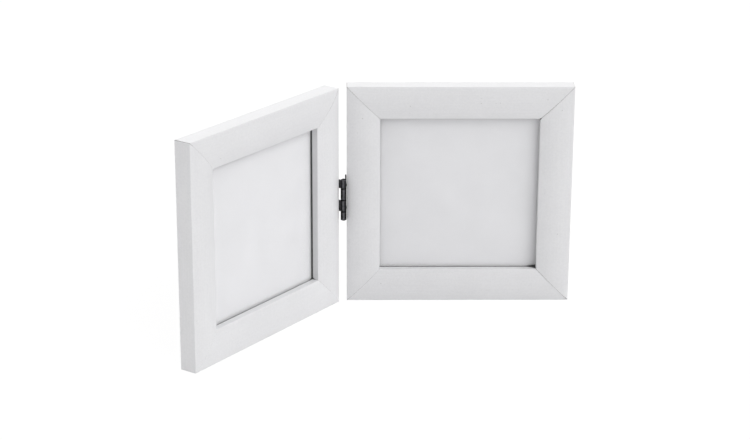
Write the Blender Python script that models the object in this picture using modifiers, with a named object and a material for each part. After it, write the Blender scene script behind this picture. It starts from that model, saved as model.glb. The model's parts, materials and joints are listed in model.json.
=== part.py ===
# Folding double photo frame: two square mitred frames joined by one small butt hinge.
# Each frame is laid out from the hinge axis: x along its width, y towards its back, z up.
import math

import bmesh
import bpy
from mathutils import Matrix, Vector

mm = 0.001

# Frames and how they stand
frame_side = 160 * mm
front_angle = math.radians(126.4)
side_gap = 2.25 * mm
axis_stand_off = 2.4 * mm

# Moulding section
rail_width = 23.6 * mm
rail_depth = 13.0 * mm
face_crown = 2.0 * mm
inner_edge_drop = 1.0 * mm
lip_thickness = 4.6 * mm
rebate_width = 4.0 * mm
edge_round = 0.5 * mm
mitre_gap = 0.2 * mm
face_steps = 14
round_steps = 3

# What the rebate holds, from the lip to the back
sheet_play = 0.4 * mm
seat_gap = 0.2 * mm
pane_thickness = 1.5 * mm
insert_thickness = 0.3 * mm
board_thickness = 3.0 * mm
rebate_gap_count = 5

# Corner nails
nail_wing = 5.5 * mm
nail_sheet = 0.5 * mm
nail_height = 7.0 * mm
nail_to_rebate = 6.1 * mm
nail_clearance = 0.15 * mm
nail_set_depth = 0.3 * mm

# Turn buttons
button_sheet = 0.8 * mm
button_root_radius = 4.2 * mm
button_nose_radius = 2.8 * mm
button_reach = 9.0 * mm
button_lift = 0.9 * mm
button_lift_length = 2.5 * mm
button_hole_play = 0.15 * mm
button_screw_to_rebate = 6.1 * mm
button_steps = 16

# Pan head screws
pan_head_radius = 2.4 * mm
pan_head_height = 1.3 * mm
pan_shank_radius = 1.1 * mm
pan_length = 8.0 * mm
pan_tip = 1.6 * mm
pan_slot_width = 0.55 * mm
pan_slot_length = 2.6 * mm
pan_slot_depth = 0.7 * mm
pan_dome_steps = 5

# Hinge
hinge_height = 30.0 * mm
hinge_centre_height = 77.7 * mm
end_knuckle_length = 6.4 * mm
knuckle_gap = 0.25 * mm
leaf_sheet = 1.0 * mm
leaf_depth = 13.0 * mm
knuckle_swing_gap = 1.3 * mm
pin_radius = 0.85 * mm
pin_play = 0.06 * mm
pin_head_radius = 1.3 * mm
pin_head_height = 0.6 * mm
pin_end_gap = 0.1 * mm
pin_dome_steps = 4
knuckle_steps = 24

# Countersunk screws
hinge_screw_spacing = 17.0 * mm
flat_head_radius = 1.9 * mm
flat_head_depth = 0.9 * mm
flat_head_sink = 0.1 * mm
flat_shank_radius = 0.9 * mm
flat_length = 8.0 * mm
flat_tip = 1.5 * mm
flat_slot_width = 0.45 * mm
flat_slot_length = 2.2 * mm
flat_slot_depth = 0.5 * mm

screw_hole_play = 0.15 * mm
screw_hole_spare = 0.4 * mm
screw_steps = 20
cut_overrun = 3.0 * mm
weld_distance = 0.005 * mm
flat_angle = math.radians(0.1)
sharp_angle = math.radians(35)

opening_side = frame_side - 2 * rail_width
sheet_side = opening_side + 2 * rebate_width - 2 * sheet_play
knuckle_radius = side_gap - seat_gap
lip_back = inner_edge_drop + lip_thickness
filled_depth = pane_thickness + insert_thickness + board_thickness
packing_thickness = rail_depth - lip_back - filled_depth - rebate_gap_count * seat_gap
rebate_inset = rail_width - rebate_width
nail_inset = rebate_inset - nail_to_rebate
button_screw_inset = rebate_inset - button_screw_to_rebate
inner_knuckle_length = hinge_height / 2 - end_knuckle_length

for old in list(bpy.data.objects):
    bpy.data.objects.remove(old, do_unlink=True)

parts = bpy.data.collections.new("Folding double photo frame")
cutters = bpy.data.collections.new("Cutters")
bpy.context.scene.collection.children.link(parts)
bpy.context.scene.collection.children.link(cutters)


def make_material(name, colour, roughness, metallic=0.0, alpha=1.0):
    material = bpy.data.materials.new(name)
    material.use_nodes = True
    shader = material.node_tree.nodes["Principled BSDF"]
    shader.inputs["Base Color"].default_value = (*colour, 1.0)
    shader.inputs["Roughness"].default_value = roughness
    shader.inputs["Metallic"].default_value = metallic
    shader.inputs["Alpha"].default_value = alpha
    return material


white_paint = make_material("white satin paint", (0.80, 0.80, 0.81), 0.42)
clear_glass = make_material("clear glass", (0.95, 0.97, 0.97), 0.05, alpha=0.25)
bare_card = make_material("bare insert card", (0.78, 0.79, 0.81), 0.6)
grey_card = make_material("grey packing card", (0.42, 0.40, 0.37), 0.9)
fibre_board = make_material("fibre board", (0.36, 0.24, 0.14), 0.75)
dark_hinge = make_material("dark antique steel", (0.09, 0.085, 0.085), 0.38, 1.0)
zinc_steel = make_material("zinc plated steel", (0.62, 0.62, 0.60), 0.32, 1.0)
nail_steel = make_material("bright nail steel", (0.50, 0.50, 0.50), 0.4, 1.0)


def axes(x_axis, y_axis):
    """Rotation that lays an object's own X and Y along these directions."""
    x_axis, y_axis = Vector(x_axis), Vector(y_axis)
    return Matrix((x_axis, y_axis, x_axis.cross(y_axis))).transposed().to_euler()


def new_object(name, mesh, material=None, collection=parts):
    made = bpy.data.objects.new(name, mesh)
    collection.objects.link(made)
    if material:
        mesh.materials.clear()
        mesh.materials.append(material)
    return made


def place(piece, parent, location, rotation=(0, 0, 0)):
    piece.parent = parent
    piece.location = location
    piece.rotation_euler = rotation
    return piece


def make_cutter(piece):
    piece.hide_render = True
    piece.display_type = "WIRE"
    for collection in list(piece.users_collection):
        collection.objects.unlink(piece)
    cutters.objects.link(piece)
    return piece


def boolean(piece, other, operation="DIFFERENCE"):
    modifier = piece.modifiers.new(other.name, "BOOLEAN")
    modifier.operation = operation
    modifier.solver = "EXACT"
    modifier.object = other


def baked_mesh(piece):
    """The evaluated mesh of an object, which is then removed with what cut it."""
    bpy.context.view_layer.update()
    evaluated = piece.evaluated_get(bpy.context.evaluated_depsgraph_get())
    mesh = bpy.data.meshes.new_from_object(evaluated)
    used = [modifier.object for modifier in piece.modifiers if modifier.type == "BOOLEAN"]
    for spent in (piece, *used):
        bpy.data.objects.remove(spent, do_unlink=True)
    work = bmesh.new()
    work.from_mesh(mesh)
    bmesh.ops.remove_doubles(work, verts=work.verts, dist=weld_distance)
    bmesh.ops.dissolve_limit(work, angle_limit=flat_angle, verts=work.verts, edges=work.edges)
    bmesh.ops.recalc_face_normals(work, faces=work.faces)
    work.to_mesh(mesh)
    work.free()
    return mesh


def prism_mesh(outline, height):
    """A flat outline, given as (x, y) points, thickened to this height about its own plane."""
    curve = bpy.data.curves.new("outline", "CURVE")
    curve.dimensions = "2D"
    curve.fill_mode = "BOTH"
    curve.extrude = height / 2
    spline = curve.splines.new("POLY")
    spline.points.add(len(outline) - 1)
    for point, (x, y) in zip(spline.points, outline):
        point.co = (x, y, 0, 1)
    spline.use_cyclic_u = True
    return baked_mesh(new_object("outline", curve))


def turned_mesh(profile, steps):
    """A profile of (radius, height) points, listed from the top down, turned about Z."""
    mesh = bpy.data.meshes.new("profile")
    points = [(radius, 0, height) for radius, height in profile]
    edges = [(index, index + 1) for index in range(len(points) - 1)]
    mesh.from_pydata(points, edges, [])
    turned = new_object("profile", mesh)
    screw = turned.modifiers.new("Turn", "SCREW")
    screw.steps = steps
    screw.render_steps = steps
    screw.use_merge_vertices = True
    screw.merge_threshold = weld_distance
    return baked_mesh(turned)


def box_mesh(width, depth, height):
    bpy.ops.mesh.primitive_cube_add(size=1)
    cube = bpy.context.active_object
    cube.scale = (width, depth, height)
    bpy.ops.object.transform_apply(location=False, rotation=False, scale=True)
    return baked_mesh(cube)


def shade_round(mesh):
    mesh.shade_smooth()
    mesh.set_sharp_from_angle(angle=sharp_angle)
    return mesh


def rounded(corners):
    """An outline whose corners, given as (x, y, radius), become arcs where the radius isn't 0."""
    outline = []
    for index, (x, y, radius) in enumerate(corners):
        corner = Vector((x, y))
        if not radius:
            outline.append((x, y))
            continue
        before = (Vector(corners[index - 1][:2]) - corner).normalized()
        after = (Vector(corners[(index + 1) % len(corners)][:2]) - corner).normalized()
        half_turn = before.angle(after) / 2
        centre = corner + (before + after).normalized() * radius / math.sin(half_turn)
        reach = radius / math.tan(half_turn)
        first = (corner + before * reach - centre).normalized()
        last = (corner + after * reach - centre).normalized()
        for step in range(round_steps + 1):
            outline.append(tuple(centre + first.slerp(last, step / round_steps) * radius))
    return outline


# Moulding


def face_points():
    """The cushioned face: one arc from the outer edge to the lower inner edge."""
    start = Vector((0, 0))
    end = Vector((rail_width, -inner_edge_drop))
    chord = (end - start).length
    radius = (chord**2 / 4 + face_crown**2) / (2 * face_crown)
    along = (end - start).normalized()
    out = Vector((-along.y, along.x))
    centre = (start + end) / 2 - out * (radius - face_crown)
    half_angle = math.asin(chord / 2 / radius)
    points = []
    for step in range(face_steps + 1):
        angle = half_angle * (2 * step / face_steps - 1)
        points.append(centre + radius * (along * math.sin(angle) + out * math.cos(angle)))
    return points


def rail_outline():
    """Section across a rail: x inwards from the outer edge, y forwards from the outer front edge."""
    face = face_points()
    corners = [(0, -rail_depth, edge_round), (face[0].x, face[0].y, edge_round)]
    corners += [(point.x, point.y, 0) for point in face[1:-1]]
    corners += [(face[-1].x, face[-1].y, edge_round), (rail_width, -lip_back, 0)]
    corners += [(rebate_inset, -lip_back, 0), (rebate_inset, -rail_depth, 0)]
    return rounded(corners)


def rail_mesh():
    """One mitred rail: each end's points slide along it by how far in from the outer edge they are."""
    mesh = prism_mesh(rail_outline(), frame_side)
    for vertex in mesh.vertices:
        reach = frame_side / 2 - vertex.co.x - mitre_gap / 2
        vertex.co.z = math.copysign(reach, vertex.co.z)
    return mesh


# Fasteners


def cross_slot(piece, width, length, depth, top):
    """Cuts a cross recess down from this height in a screw's head."""
    for quarter in range(2):
        bar = new_object("cross recess", box_mesh(length, width, depth * 2))
        bar.location.z = top
        bar.rotation_euler.z = quarter * math.pi / 2
        boolean(piece, make_cutter(bar))


def pan_screw_mesh():
    """Pan head screw: its head stands on z = 0 and its shank points down."""
    profile = []
    for step in range(pan_dome_steps + 1):
        angle = math.pi / 2 * step / pan_dome_steps
        profile.append((pan_head_radius * math.sin(angle), pan_head_height * math.cos(angle)))
    profile += [(pan_shank_radius, 0), (pan_shank_radius, pan_tip - pan_length), (0, -pan_length)]
    screw = new_object("pan screw", turned_mesh(profile, screw_steps))
    cross_slot(screw, pan_slot_width, pan_slot_length, pan_slot_depth, pan_head_height)
    return shade_round(baked_mesh(screw))


def flat_screw_mesh():
    """Countersunk screw: the top of its head lies at z = 0."""
    profile = [(0, 0), (flat_head_radius, 0), (flat_shank_radius, -flat_head_depth)]
    profile += [(flat_shank_radius, flat_tip - flat_length), (0, -flat_length)]
    screw = new_object("flat screw", turned_mesh(profile, screw_steps))
    cross_slot(screw, flat_slot_width, flat_slot_length, flat_slot_depth, 0)
    return shade_round(baked_mesh(screw))


def round_cutter_mesh(radius, top, bottom, steps):
    """Cutter for a round hole about Z between these two heights."""
    return turned_mesh([(0, top), (radius, top), (radius, bottom), (0, bottom)], steps)


def countersink_mesh():
    """Cutter for the seat and hole of a countersunk screw, with the leaf's face at z = 0."""
    seat_radius = flat_head_radius + screw_hole_play
    hole_radius = flat_shank_radius + screw_hole_play
    seat_end = -flat_head_sink - flat_head_depth
    depth = flat_length + flat_head_sink + screw_hole_spare
    profile = [(0, cut_overrun), (seat_radius, cut_overrun), (seat_radius, -flat_head_sink)]
    profile += [(hole_radius, seat_end), (hole_radius, -depth), (0, -depth)]
    return turned_mesh(profile, screw_steps)


def nail_outline(clearance):
    """A V of two wings at right angles, its tip at the origin, grown all round by the clearance."""
    outer = clearance
    inner = -nail_sheet - clearance
    end = -nail_wing - clearance
    return [(outer, outer), (end, outer), (end, inner), (inner, inner), (inner, end), (outer, end)]


# Turn button


def button_mesh():
    """Turn button: a flat plate round its screw at the origin, its nose along +x lifted at the tip."""
    tip = button_reach + button_nose_radius
    lift_start = tip - button_lift_length
    rise = button_lift * (tip + cut_overrun - lift_start) / button_lift_length
    side = [(-button_root_radius - cut_overrun, 0), (lift_start, 0), (tip + cut_overrun, rise)]
    ribbon = bpy.data.curves.new("ribbon", "CURVE")
    ribbon.dimensions = "2D"
    ribbon.fill_mode = "NONE"
    ribbon.extrude = button_root_radius + cut_overrun
    spline = ribbon.splines.new("POLY")
    spline.points.add(len(side) - 1)
    for point, (x, y) in zip(spline.points, side):
        point.co = (x, y, 0, 1)
    plate = new_object("plate", baked_mesh(new_object("ribbon", ribbon)))
    plate.data.transform(Matrix.Rotation(math.pi / 2, 4, "X"))
    thick = plate.modifiers.new("Sheet", "SOLIDIFY")
    thick.thickness = button_sheet
    thick.offset = 0
    thick.use_even_offset = True
    plan = []
    for step in range(button_steps + 1):
        angle = math.pi / 2 + math.pi * step / button_steps
        plan.append((button_root_radius * math.cos(angle), button_root_radius * math.sin(angle)))
    for step in range(button_steps // 2 + 1):
        angle = math.pi * 2 * step / button_steps - math.pi / 2
        nose = (button_nose_radius * math.cos(angle), button_nose_radius * math.sin(angle))
        plan.append((button_reach + nose[0], nose[1]))
    prism = make_cutter(new_object("button plan", prism_mesh(plan, 2 * (cut_overrun + rise))))
    boolean(plate, prism, "INTERSECT")
    hole_radius = pan_shank_radius + button_hole_play
    hole_data = round_cutter_mesh(hole_radius, cut_overrun, -cut_overrun, screw_steps)
    boolean(plate, make_cutter(new_object("button hole", hole_data)))
    return baked_mesh(plate)


# Hinge


def leaf_outline(hand):
    """Section of a leaf from above: the plate along the side face and the knuckle round the axis."""
    bend = math.acos((knuckle_radius - leaf_sheet) / knuckle_radius)
    sweep = 2 * math.pi - bend
    outline = [(knuckle_radius, leaf_depth)]
    for step in range(knuckle_steps + 1):
        angle = -sweep * step / knuckle_steps
        outline.append((knuckle_radius * math.cos(angle), knuckle_radius * math.sin(angle)))
    outline.append((knuckle_radius - leaf_sheet, leaf_depth))
    return [(hand * x, y) for x, y in outline]


def knuckle_spans():
    """Lowest and highest point of the four knuckles, from the top down, about the hinge's middle."""
    spans = []
    top = hinge_height / 2
    for length in (end_knuckle_length, inner_knuckle_length, inner_knuckle_length, end_knuckle_length):
        spans.append((top - length, top))
        top -= length
    return spans


def make_leaf(name, pivot, hand, gaps):
    """A leaf, with the other leaf's knuckles cut away, its bore and its countersunk holes."""
    leaf = new_object(name, shade_round(prism_mesh(leaf_outline(hand), hinge_height)), dark_hinge)
    place(leaf, pivot, (0, 0, hinge_centre_height))
    room = knuckle_radius + knuckle_swing_gap
    for low, high in gaps:
        notch = new_object(name + " notch", box_mesh(2 * room, 2 * room, high - low + knuckle_gap))
        place(make_cutter(notch), pivot, (0, 0, hinge_centre_height + (low + high) / 2))
        boolean(leaf, notch)
    boolean(leaf, pin_bore)
    for cutter in hinge_screw_cutters[hand]:
        boolean(leaf, cutter)
    return leaf


def pin_mesh():
    """Hinge pin, about the hinge's middle: a shank with a domed head at each end."""
    seat = hinge_height / 2 + pin_end_gap
    dome = []
    for step in range(pin_dome_steps + 1):
        angle = math.pi / 2 * step / pin_dome_steps
        dome.append((pin_head_radius * math.sin(angle), seat + pin_head_height * math.cos(angle)))
    profile = dome + [(pin_radius, seat), (pin_radius, -seat)]
    profile += [(radius, -height) for radius, height in reversed(dome)]
    return turned_mesh(profile, knuckle_steps)


# Assembly

hinge_axis = bpy.data.objects.new("hinge_axis", None)
parts.objects.link(hinge_axis)
pivots = {}
for hand, side_name in ((1, "right"), (-1, "left")):
    pivot = bpy.data.objects.new(side_name + "_frame_pivot", None)
    parts.objects.link(pivot)
    pivot.parent = hinge_axis
    pivots[hand] = pivot
pivots[-1].rotation_euler.z = math.pi - front_angle

bore_reach = hinge_height / 2 + cut_overrun
bore_data = round_cutter_mesh(pin_radius + pin_play, bore_reach, -bore_reach, knuckle_steps)
pin_bore = make_cutter(new_object("pin bore", bore_data))
place(pin_bore, hinge_axis, (0, 0, hinge_centre_height))

rail_data = rail_mesh()
nail_data = prism_mesh(nail_outline(0), nail_height)
nail_slot_height = nail_height + nail_set_depth + nail_clearance + cut_overrun
nail_slot_data = prism_mesh(nail_outline(nail_clearance), nail_slot_height)
pan_screw_data = pan_screw_mesh()
pan_hole_radius = pan_shank_radius + screw_hole_play
pan_hole_end = -pan_length - screw_hole_spare
pan_hole_data = round_cutter_mesh(pan_hole_radius, cut_overrun, pan_hole_end, screw_steps)
flat_screw_data = flat_screw_mesh()
button_data = button_mesh()
countersink_data = countersink_mesh()

back_y = axis_stand_off + rail_depth
leaf_face_x = knuckle_radius - leaf_sheet
hinge_screw_y = (axis_stand_off + leaf_depth) / 2
hinge_screw_cutters = {1: [], -1: []}
middle_x = side_gap + frame_side / 2
middle_z = frame_side / 2
button_y = back_y + seat_gap + button_sheet / 2
pan_seat_y = back_y + 2 * seat_gap + button_sheet
corner_places = {
    "top_outer": (1, 1),
    "top_hinge": (-1, 1),
    "bottom_hinge": (-1, -1),
    "bottom_outer": (1, -1),
}
members = {
    "bottom_rail": (0, 1),
    "outer_stile": (-1, 0),
    "top_rail": (0, -1),
    "hinge_stile": (1, 0),
}
rebate_sheets = (
    ("pane", pane_thickness, clear_glass),
    ("insert_card", insert_thickness, bare_card),
    ("packing_card", packing_thickness, grey_card),
    ("backing_board", board_thickness, fibre_board),
)


def make_hinge_screws(side_name, pivot, hand):
    """Two countersunk screws through the leaf into the side of the hinge stile, and their cutters."""
    turn = axes((0, 0, hand), (0, 1, 0))
    for height_name, upward in (("upper", 1), ("lower", -1)):
        z = hinge_centre_height + upward * hinge_screw_spacing / 2
        name = f"{side_name}_leaf_{height_name}_screw"
        cutter = new_object(name + " seat", countersink_data, collection=cutters)
        place(make_cutter(cutter), pivot, (hand * leaf_face_x, hinge_screw_y, z), turn)
        hinge_screw_cutters[hand].append(cutter)
        screw = new_object(name, flat_screw_data, dark_hinge)
        place(screw, pivot, (hand * (leaf_face_x + flat_head_sink), hinge_screw_y, z), turn)


def make_sheets(side_name, pivot, hand):
    """The square sheets in the rebate, from the lip to the back, each behind the one before."""
    front = axis_stand_off + lip_back
    for sheet_name, thickness, material in rebate_sheets:
        front += seat_gap
        mesh = box_mesh(sheet_side, thickness, sheet_side)
        sheet = new_object(f"{side_name}_{sheet_name}", mesh, material)
        place(sheet, pivot, (hand * middle_x, front + thickness / 2, middle_z))
        front += thickness


def make_frame(side_name, pivot, hand):
    nail_cutters = []
    for corner_name, (outward, upward) in corner_places.items():
        x = hand * (middle_x + outward * (frame_side / 2 - nail_inset))
        z = middle_z + upward * (frame_side / 2 - nail_inset)
        # The V's tip points to the middle of the frame and its wings out to the corner's two sides.
        turn = axes((-hand * outward, 0, 0), (0, 0, -upward))
        name = f"{side_name}_{corner_name}_corner_nail"
        slot = make_cutter(new_object(name + " slot", nail_slot_data, collection=cutters))
        slot_top = back_y + cut_overrun
        place(slot, pivot, (x, slot_top - nail_slot_height / 2, z), turn)
        nail_cutters.append(slot)
        nail = new_object(name, nail_data, nail_steel)
        place(nail, pivot, (x, back_y - nail_set_depth - nail_height / 2, z), turn)
    for member_name, (inward, upward) in members.items():
        inwards = Vector((hand * inward, 0, upward))
        middle = Vector((hand * middle_x, 0, middle_z))
        edge = middle - inwards * frame_side / 2
        rail = new_object(f"{side_name}_{member_name}", rail_data, white_paint)
        place(rail, pivot, (edge.x, axis_stand_off, edge.z), axes(inwards, (0, -1, 0)))
        seat = edge + inwards * button_screw_inset
        button_name = f"{side_name}_{member_name}_turn_button"
        hole = make_cutter(new_object(button_name + " hole", pan_hole_data, collection=cutters))
        turn = axes(inwards, Vector((0, 1, 0)).cross(inwards))
        place(hole, pivot, (seat.x, pan_seat_y, seat.z), turn)
        boolean(rail, hole)
        for slot in nail_cutters:
            if (slot.location - rail.location).dot(inwards) < frame_side / 2:
                boolean(rail, slot)
        if member_name == "hinge_stile":
            for cutter in hinge_screw_cutters[hand]:
                boolean(rail, cutter)
        button = new_object(button_name, button_data, zinc_steel)
        place(button, pivot, (seat.x, button_y, seat.z), turn)
        screw = new_object(button_name + "_screw", pan_screw_data, zinc_steel)
        place(screw, pivot, (seat.x, pan_seat_y, seat.z), turn)


def stand_on_origin():
    """Moves the whole object so that the middle of the box round it stands on the origin."""
    bpy.context.view_layer.update()
    graph = bpy.context.evaluated_depsgraph_get()
    points = []
    for piece in parts.objects:
        if piece.type == "MESH":
            evaluated = piece.evaluated_get(graph)
            points += [evaluated.matrix_world @ vertex.co for vertex in evaluated.data.vertices]
    for axis in range(2):
        places = [point[axis] for point in points]
        hinge_axis.location[axis] = -(min(places) + max(places)) / 2
    hinge_axis.location.z = -min(point.z for point in points)


spans = knuckle_spans()
for hand, side_name in ((1, "right"), (-1, "left")):
    make_hinge_screws(side_name, pivots[hand], hand)
    make_frame(side_name, pivots[hand], hand)
    make_sheets(side_name, pivots[hand], hand)
make_leaf("hinge_left_leaf", pivots[-1], -1, (spans[1], spans[3]))
make_leaf("hinge_right_leaf", pivots[1], 1, (spans[0], spans[2]))
pin = new_object("hinge_pin", shade_round(pin_mesh()), dark_hinge)
place(pin, pivots[1], (0, 0, hinge_centre_height))
stand_on_origin()
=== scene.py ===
import json
from math import asin, cos, pi, radians, sin, sqrt, tan

import bmesh
import bpy
from mathutils import Matrix, Vector


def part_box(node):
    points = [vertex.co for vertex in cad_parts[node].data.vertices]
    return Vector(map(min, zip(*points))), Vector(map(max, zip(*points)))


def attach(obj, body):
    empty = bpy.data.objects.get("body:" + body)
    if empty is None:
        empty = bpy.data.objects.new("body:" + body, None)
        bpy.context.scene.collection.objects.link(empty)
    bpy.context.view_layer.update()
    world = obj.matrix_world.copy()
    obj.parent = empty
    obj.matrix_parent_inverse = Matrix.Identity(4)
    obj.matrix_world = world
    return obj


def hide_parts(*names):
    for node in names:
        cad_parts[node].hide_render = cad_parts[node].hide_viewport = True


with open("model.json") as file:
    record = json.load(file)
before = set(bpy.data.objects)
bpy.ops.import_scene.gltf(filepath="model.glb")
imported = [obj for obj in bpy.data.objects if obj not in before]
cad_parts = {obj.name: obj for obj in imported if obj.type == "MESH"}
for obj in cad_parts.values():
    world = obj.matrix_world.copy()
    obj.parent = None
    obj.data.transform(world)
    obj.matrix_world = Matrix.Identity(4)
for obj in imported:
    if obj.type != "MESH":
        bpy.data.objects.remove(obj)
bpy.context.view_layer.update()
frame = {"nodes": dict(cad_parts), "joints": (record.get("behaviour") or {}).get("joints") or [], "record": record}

mm = 0.001
up = Vector((0, 0, 1))
scene = bpy.context.scene


# Trees that are filled from Python, for shaders and for geometry alike

def mathNode(operation):
    return lambda value, other=None: value.do(operation, other)


class Value:  # wraps a socket, so that a sum on it adds Math nodes
    __add__ = __radd__ = mathNode("ADD")
    __sub__ = mathNode("SUBTRACT")
    __mul__ = __rmul__ = mathNode("MULTIPLY")
    __truediv__ = mathNode("DIVIDE")
    __gt__ = mathNode("GREATER_THAN")
    __lt__ = mathNode("LESS_THAN")
    __abs__ = mathNode("ABSOLUTE")

    def __init__(self, graph, socket):
        self.graph = graph
        self.socket = socket

    def do(self, operation, other=None):
        return self.graph.add("ShaderNodeMath", {0: self, 1: other}, operation=operation)

    def __rsub__(self, other):
        return self.graph.add("ShaderNodeMath", {0: other, 1: self}, operation="SUBTRACT")

    def limited(self):
        return self.do("MAXIMUM", 0.0).do("MINIMUM", 1.0)


class Graph:
    def __init__(self, tree, **inputs):
        self.tree = tree
        self.keys = {}
        for kind, names in inputs.items():
            for name in names:
                socket = tree.interface.new_socket(name, in_out="INPUT", socket_type="NodeSocket" + kind)
                self.keys[name] = socket.identifier
        if inputs:
            tree.interface.new_socket("Geometry", in_out="OUTPUT", socket_type="NodeSocketGeometry")
            self.entry = tree.nodes.new("NodeGroupInput")

    def ask(self, name):
        return Value(self, self.entry.outputs[name])

    def add(self, kind, values=None, output=0, **settings):
        node = self.tree.nodes.new(kind)
        for name, setting in settings.items():
            setattr(node, name, setting)
        for key, value in (values or {}).items():
            if isinstance(value, Value):
                self.tree.links.new(value.socket, node.inputs[key])
            elif value is not None:
                node.inputs[key].default_value = value
        return Value(self, node.outputs[output]) if len(node.outputs) else node

    def split(self, vector):
        node = self.add("ShaderNodeSeparateXYZ", {0: vector}).socket.node
        return [Value(self, socket) for socket in node.outputs]

    def join(self, x, y, z):
        return self.add("ShaderNodeCombineXYZ", {0: x, 1: y, 2: z})

    def mix(self, share, first, second):
        return self.add("ShaderNodeMix", {0: share, 6: first, 7: second}, 2, data_type="RGBA")

    def smooth(self, value, low, high, start=0.0, end=1.0):
        ends = {0: value, 1: low, 2: high, 3: start, 4: end}
        return self.add("ShaderNodeMapRange", ends, interpolation_type="SMOOTHSTEP")

    def noise(self, scale, detail, roughness, seed=0.0, at=None, stretch=None):
        at = at or self.place
        if stretch:
            at = self.add("ShaderNodeVectorMath", {0: at, 1: stretch}, operation="MULTIPLY")
        values = {"Vector": at, "Scale": scale, "Detail": detail, "Roughness": roughness, "W": seed}
        return self.add("ShaderNodeTexNoise", values, noise_dimensions="4D")

    def placeFrom(self, middle):
        return self.split(self.add("ShaderNodeVectorMath", {0: self.place, 1: middle}, operation="SUBTRACT"))


# Finishes

def newFinish(name):
    material = bpy.data.materials.new(name)
    material.use_nodes = True
    graph = Graph(material.node_tree)
    graph.shader = material.node_tree.nodes["Principled BSDF"]
    graph.place = graph.add("ShaderNodeTexCoord", output="Object")
    graph.material = material
    return graph


def grey(level):
    return (level, level, level, 1)


def scaled(colour, share):
    return (*(share * shade for shade in colour[:3]), 1)


def setShader(graph, **values):
    for name, value in values.items():
        socket = graph.shader.inputs[name.replace("_", " ")]
        if isinstance(value, Value):
            graph.tree.links.new(value.socket, socket)
        else:
            socket.default_value = value


def dress(graph, colour, roughness, height, depth, strength, **more):
    bump = graph.add("ShaderNodeBump", {"Height": height, "Distance": depth, "Strength": strength})
    setShader(graph, Base_Color=colour, Roughness=roughness, Normal=bump, **more)
    return graph.material


def specks(graph, perMetre, radius, rarity):
    # 1 inside scattered dots: perMetre cells a metre, of which only the rare ones hold a dot
    cells = {"Vector": graph.place, "Scale": perMetre}
    distance = graph.add("ShaderNodeTexVoronoi", cells)
    dice = graph.split(Value(graph, distance.socket.node.outputs["Color"]))
    smallest = 0.4 * radius * perMetre
    size = dice[1] * radius * perMetre + smallest
    return (distance < size) * (dice[0] > rarity)


paint = {
    "low": (0.791, 0.790, 0.804, 1),
    "high": (0.832, 0.831, 0.844, 1),
    "dust": (0.30, 0.29, 0.28, 1),
    # grime in the mitres, and the grey of the painted shade on undersides and on the lip's inner wall
    "grimeAndShade": (0.19, 0.185, 0.19, 1),
    # near black, for the painted shade in dark inner corners
    "cornerShade": (0.015, 0.015, 0.015, 1),
    "parts": {  # lightness, lowered on some parts as painted shade, and how much painted shade greys the lip's inner wall
        "left rail": (0.991, 0.0),
        "left stile": (0.995, 0.16),
        "right rail": (0.980, 0.0),
        "right stile": (0.987, 0.16),
    },
    "undersideShade": 0.4,  # how much painted shade greys the paint where it faces down
    "specks": (300.0, 0.21 * mm, 0.84),
    "seamEdge": (0.24 * mm, 0.03 * mm),  # how far from a mitre its grime starts, and is full
    "seamOpen": 0.12 * mm,  # a mitre this far open is full of grime
    "wallShadeEdge": (0.12 * mm, 0.02 * mm),  # the same for the painted shade on the lip's inner wall
    "wallShadeTop": 0.3 * mm,  # where that shade starts, below the face
    # width and blur of the painted corner shade
    "shadeWedgeWidth": 0.2 * mm,
    "shadeWedgeBlur": 0.4 * mm,
    "shadeDotBlur": 0.15 * mm,
    "bump": 0.03 * mm,
}


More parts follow.
